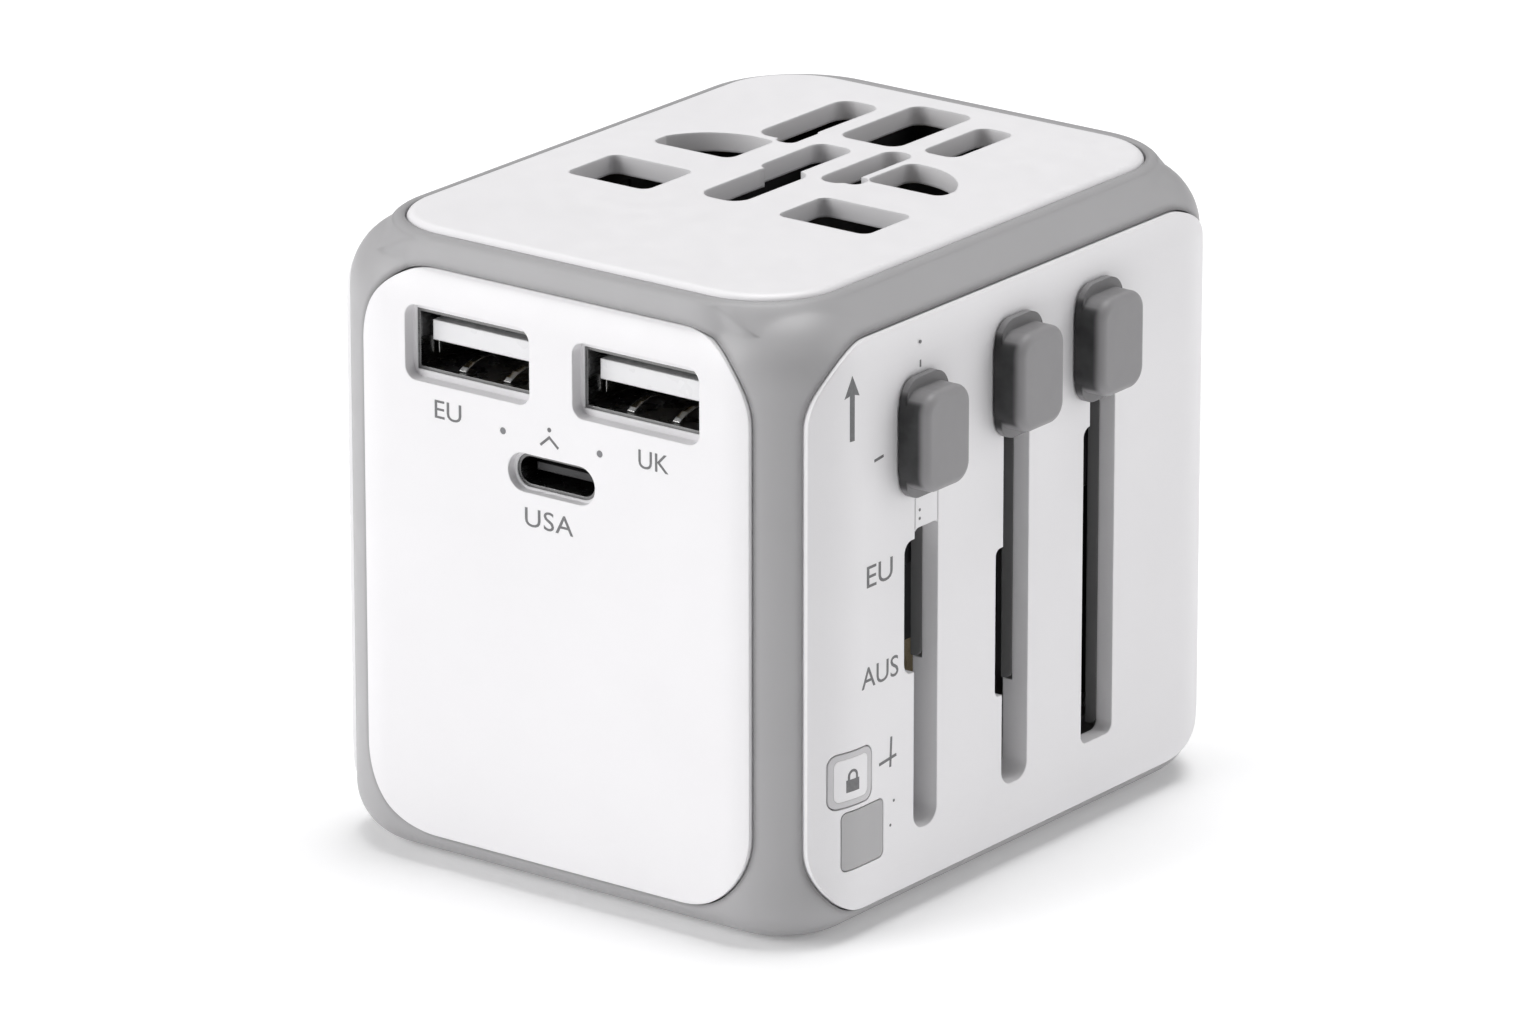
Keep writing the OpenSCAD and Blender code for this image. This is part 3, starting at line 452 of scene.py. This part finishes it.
def lettering(name, text, centre, width, height, surface, spacing=1.0):
    """A region code set in the plain built-in face and fitted to a width and cap height in mm."""
    curve = bpy.data.curves.new(name, "FONT")
    curve.body = text
    curve.space_character = spacing
    curve.resolution_u = 4
    holder = bpy.data.objects.new(name + "_outline", curve)
    scene.collection.objects.link(holder)
    bpy.context.view_layer.update()
    graph = bpy.context.evaluated_depsgraph_get()
    mesh = bpy.data.meshes.new_from_object(holder.evaluated_get(graph))
    flat = bmesh.new()
    flat.from_mesh(mesh)
    bmesh.ops.remove_doubles(flat, verts=flat.verts, dist=0.00001)
    bpy.data.meshes.remove(mesh)
    bpy.data.objects.remove(holder)
    bpy.data.curves.remove(curve)
    xs = [v.co.x for v in flat.verts]
    ys = [v.co.y for v in flat.verts]
    for v in flat.verts:
        v.co.x = centre[0] + ((v.co.x - min(xs)) / (max(xs) - min(xs)) - 0.5) * width
        v.co.y = centre[1] + ((v.co.y - min(ys)) / (max(ys) - min(ys)) - 0.5) * height
    printed(name, flat, surface)


def front_marks():
    """Three region codes, and a small caret with a dot over the USB-C port."""
    lettering("mark_front_eu", "EU", (-11.6, 43.75), 3.0, 1.7, on_front)
    lettering("mark_front_uk", "UK", (11.35, 43.65), 3.3, 1.7, on_front)
    lettering("mark_front_usa", "USA", (-0.3, 35.75), 5.4, 1.75, on_front, 1.05)
    caret = strip([(-1.2, 42.75), (-0.2, 43.6), (0.8, 42.75)], 0.24)
    caret += [disc(-0.2, 44.3, 0.22)]
    printed("mark_front_caret", polygons(caret), on_front)


def side_marks():
    """The slider face's codes and signs, and the dots on the first slider's insert."""
    lettering("mark_side_eu", "EU", (-22.0, 33.7), 3.8, 2.0, on_right)
    lettering("mark_side_aus", "AUS", (-21.9, 24.4), 5.4, 1.95, on_right)
    middle, half_shaft, half_head = -25.95, 0.28, 0.9
    foot, barb, neck, tip = 46.8, 50.8, 51.0, 52.75
    arrow = [
        (middle - half_shaft, foot), (middle + half_shaft, foot), (middle + half_shaft, neck),
        (middle + half_head, barb), (middle, tip), (middle - half_head, barb),
        (middle - half_shaft, neck),
    ]
    printed("mark_side_arrow", polygons([arrow], 2), on_right)
    dash = strip([(-22.85, 44.2), (-21.5, 44.35)], 0.26)
    printed("mark_side_dash", polygons(dash), on_right)
    plus = [
        *strip([(-22.0, 15.75), (-20.44, 15.92)], 0.28),
        *strip([(-20.16, 15.95), (-19.45, 16.03)], 0.28),
        *strip([(-20.35, 15.1), (-20.2, 17.9)], 0.28),
    ]
    printed("mark_side_plus", polygons(plus), on_right)
    ticks = [
        disc(FIRST_SLOT_Y, 53.4, 0.16),
        *strip([(FIRST_SLOT_Y, 51.1), (FIRST_SLOT_Y, 51.75)], 0.2),
        disc(-19.8, 11.8, 0.14),
        disc(-20.3, 9.6, 0.14),
    ]
    printed("mark_side_ticks", polygons(ticks), on_right)
    dots = [disc(FIRST_SLOT_Y, 37.9, 0.15), disc(FIRST_SLOT_Y, 37.1, 0.15)]
    printed("mark_insert_dots", polygons(dots), on_right, "eu_slider")


def padlock():
    """The release button's sign: a closed padlock."""
    y, z = -25.75, 15.3
    bow, half_case, case_foot, case_top = 0.5, 0.8, z - 0.9, z + 0.25
    shackle = [(y - bow, z + 0.2), *arc(y, z + 0.55, bow, 180, 0, 10), (y + bow, z + 0.2)]
    case = [
        (y - half_case, case_foot), (y + half_case, case_foot),
        (y + half_case, case_top), (y - half_case, case_top),
    ]
    sign = polygons([*strip(shackle, 0.24), case], 1)
    printed("mark_button_padlock", sign, on_right, "release_button")


front_marks()
side_marks()
padlock()


# ---- Small parts the CAD leaves out ------------------------------------------------------------

# The USB-A ports' centres, and how far a port's inner floor lies under its centre, in mm
USB_A_X = 9.4
USB_A_Z = 49.5
PORT_FLOOR_DROP = 2.5

# The bends of a port's springs, in mm: the place along Y, and the rise off the floor or side wall
LEAF_BENDS = [
    (-31.5, 0.06), (-31.1, 0.3), (-30.2, 0.62), (-29.0, 0.8), (-27.8, 0.66), (-27.0, 0.14),
]
CLIP_BENDS = [(-27.2, 0.0), (-28.2, 0.12), (-28.9, 0.34), (-29.5, 0.42), (-29.9, 0.3)]

# Where the springs stand in a port, in mm from its centre
LEAF_OFFSETS = {"a": -1.9, "b": 3.1}
CLIP_WALL = 6.2
CLIP_DROP = 1.1

# The slot liners' inner and outer ends along X, their outer corners' radius, their thickness and
# their eased edge, in mm
LINER_BACK = 24.62
LINER_LIP = 25.88
LINER_R = 0.85
LINER_THICK = 0.2
LINER_EASE = 0.05


def join_rings(shape, first, second):
    """A band of quads between two closed rings of as many points."""
    for k in range(len(first)):
        after = (k + 1) % len(first)
        shape.faces.new([first[k], first[after], second[after], second[k]])


def swept(name, path, across, width, thickness):
    """A bent strip of sheet metal with eased edges, swept along a path in mm."""
    path = [Vector(p) for p in path]
    across = Vector(across)
    half_w, half_t = width / 2, thickness / 2
    ease = half_t * 0.6
    section = [
        (-half_w + ease, -half_t), (half_w - ease, -half_t), (half_w, -half_t + ease),
        (half_w, half_t - ease), (half_w - ease, half_t), (-half_w + ease, half_t),
        (-half_w, half_t - ease), (-half_w, -half_t + ease),
    ]
    sheet = bmesh.new()
    rings = []
    for i, p in enumerate(path):
        along = (path[min(i + 1, len(path) - 1)] - path[max(i - 1, 0)]).normalized()
        out = across.cross(along).normalized()
        rings.append([sheet.verts.new((p + across * u + out * v) * MM) for u, v in section])
    for first, second in zip(rings, rings[1:]):
        join_rings(sheet, first, second)
    sheet.faces.new(rings[0])
    sheet.faces.new(rings[-1])
    add_piece(name, sheet, leaf_metal, "body")


def port_springs(label, x, z):
    """The bent leaves inside one USB-A shell: two below, one at each side."""
    floor = z - PORT_FLOOR_DROP
    for tag, offset in LEAF_OFFSETS.items():
        leaf = [(x + offset, y, floor + rise) for y, rise in LEAF_BENDS]
        swept(f"usb_{label}_leaf_{tag}", leaf, (1, 0, 0), width=0.8, thickness=0.16)
    for tag, side in (("left", -1), ("right", 1)):
        wall = x + side * CLIP_WALL
        clip = [(wall - side * rise, y, z - CLIP_DROP) for y, rise in CLIP_BENDS]
        swept(f"usb_{label}_clip_{tag}", clip, (0, 0, 1), width=1.5, thickness=0.14)


def slot_shade_sheet(label, edge, low, high):
    """A dark wall behind the rear edge of a slot, its two outer corners rounded; its dark grey is
    painted shade inside the slot.
    """
    middle = LINER_LIP - LINER_R
    outline = [
        (LINER_BACK, low), (LINER_BACK, high),
        *arc(middle, high - LINER_R, LINER_R, 90, 0, 6),
        *arc(middle, low + LINER_R, LINER_R, 0, -90, 6),
    ]
    wall = bmesh.new()
    near, far = [
        [wall.verts.new((x * MM, y * MM, z * MM)) for x, z in outline]
        for y in (edge, edge + LINER_THICK)
    ]
    wall.faces.new(near)
    wall.faces.new(far)
    join_rings(wall, near, far)
    bmesh.ops.recalc_face_normals(wall, faces=wall.faces)
    bmesh.ops.bevel(wall, geom=wall.edges[:], offset=LINER_EASE * MM, segments=1, affect="EDGES")
    add_piece(f"slot_shade_sheet_{label}", wall, liner_black, "body")


port_springs("left", -USB_A_X, USB_A_Z)
port_springs("right", USB_A_X, USB_A_Z)
# Dark sheets behind the three slots, standing in as painted shade inside them
slot_shade_sheet("first", edge=-13.35, low=23.0, high=36.3)
slot_shade_sheet("second", edge=0.4, low=17.0, high=50.4)
slot_shade_sheet("third", edge=13.65, low=8.8, high=50.4)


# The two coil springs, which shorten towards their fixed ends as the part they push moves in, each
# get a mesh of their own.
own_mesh(nodes["shutter_spring"])
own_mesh(nodes["button_spring"])


# ---- Camera, floor and light -------------------------------------------------------------------

# The camera's bearing from the USB face and its height angle in degrees, its distance from the
# point that it aims at and that point's height, in metres
AZIMUTH = 36.915
ELEVATION = 18.614
RANGE = 0.93004
AIM_HEIGHT = 0.02958

LIGHT_AIM = Vector((0, 0, 0.03))
FLOOR_HALF = 3.0
FLOOR_GLOW = 0.15
WORLD_STRENGTH = 0.075
PURE_WHITE = (1.0, 1.0, 1.0, 1.0)

camera_data = bpy.data.cameras.new("camera")
camera_data.lens = 240.0
camera_data.sensor_width = 36.0
camera_data.shift_x = -0.0069
camera_data.shift_y = -0.0127
camera_data.clip_start = 0.05
camera_data.clip_end = 20.0
camera = bpy.data.objects.new("camera", camera_data)
scene.collection.objects.link(camera)
azimuth = math.radians(AZIMUTH)
elevation = math.radians(ELEVATION)
back = Vector((
    math.sin(azimuth) * math.cos(elevation),
    -math.cos(azimuth) * math.cos(elevation),
    math.sin(elevation),
))
camera.location = Vector((0.0, 0.0, AIM_HEIGHT)) + back * RANGE
camera.rotation_mode = "QUATERNION"
camera.rotation_quaternion = (-back).to_track_quat("-Z", "Y")
scene.camera = camera


def pale_floor():
    """A broad sheet of matt white paper with a faint glow that keeps its shadows pale."""
    mesh = bpy.data.meshes.new("floor")
    sheet = bmesh.new()
    bmesh.ops.create_grid(sheet, x_segments=2, y_segments=2, size=FLOOR_HALF)
    sheet.to_mesh(mesh)
    sheet.free()
    material, tree, shader = new_material("floor_paper")
    place = object_space(tree)
    fibre = noise(tree, place, 900, 4, 0.6)
    tree.links.new(
        blended(tree, fibre, (0.955, 0.955, 0.96), (0.965, 0.965, 0.97)),
        shader.inputs["Base Color"],
    )
    shader.inputs["Roughness"].default_value = 0.9
    shader.inputs["Specular IOR Level"].default_value = 0.2
    shader.inputs["Emission Color"].default_value = PURE_WHITE
    shader.inputs["Emission Strength"].default_value = FLOOR_GLOW
    mesh.materials.append(material)
    floor = bpy.data.objects.new("floor", mesh)
    scene.collection.objects.link(floor)


def softbox(name, direction, distance, size, power):
    """A square area light aimed at the middle of the adapter."""
    data = bpy.data.lights.new(name, "AREA")
    data.shape = "SQUARE"
    data.size = size
    data.energy = power
    lamp = bpy.data.objects.new(name, data)
    aim = Vector(direction).normalized()
    lamp.location = LIGHT_AIM + aim * distance
    lamp.rotation_mode = "QUATERNION"
    lamp.rotation_quaternion = aim.to_track_quat("Z", "Y")
    scene.collection.objects.link(lamp)


pale_floor()
softbox("key", (-0.53, -0.76, 0.375), distance=1.6, size=1.1, power=17.0)
softbox("fill", (0.78, 0.58, 0.25), distance=1.8, size=1.7, power=12.7)
softbox("overhead", (0.0, 0.15, 1.0), distance=1.6, size=1.1, power=21.5)

world = bpy.data.worlds.new("studio")
world.use_nodes = True
background = world.node_tree.nodes["Background"]
background.inputs["Color"].default_value = PURE_WHITE
background.inputs["Strength"].default_value = WORLD_STRENGTH
scene.world = world
scene.view_settings.view_transform = "Standard"
scene.view_settings.look = "None"
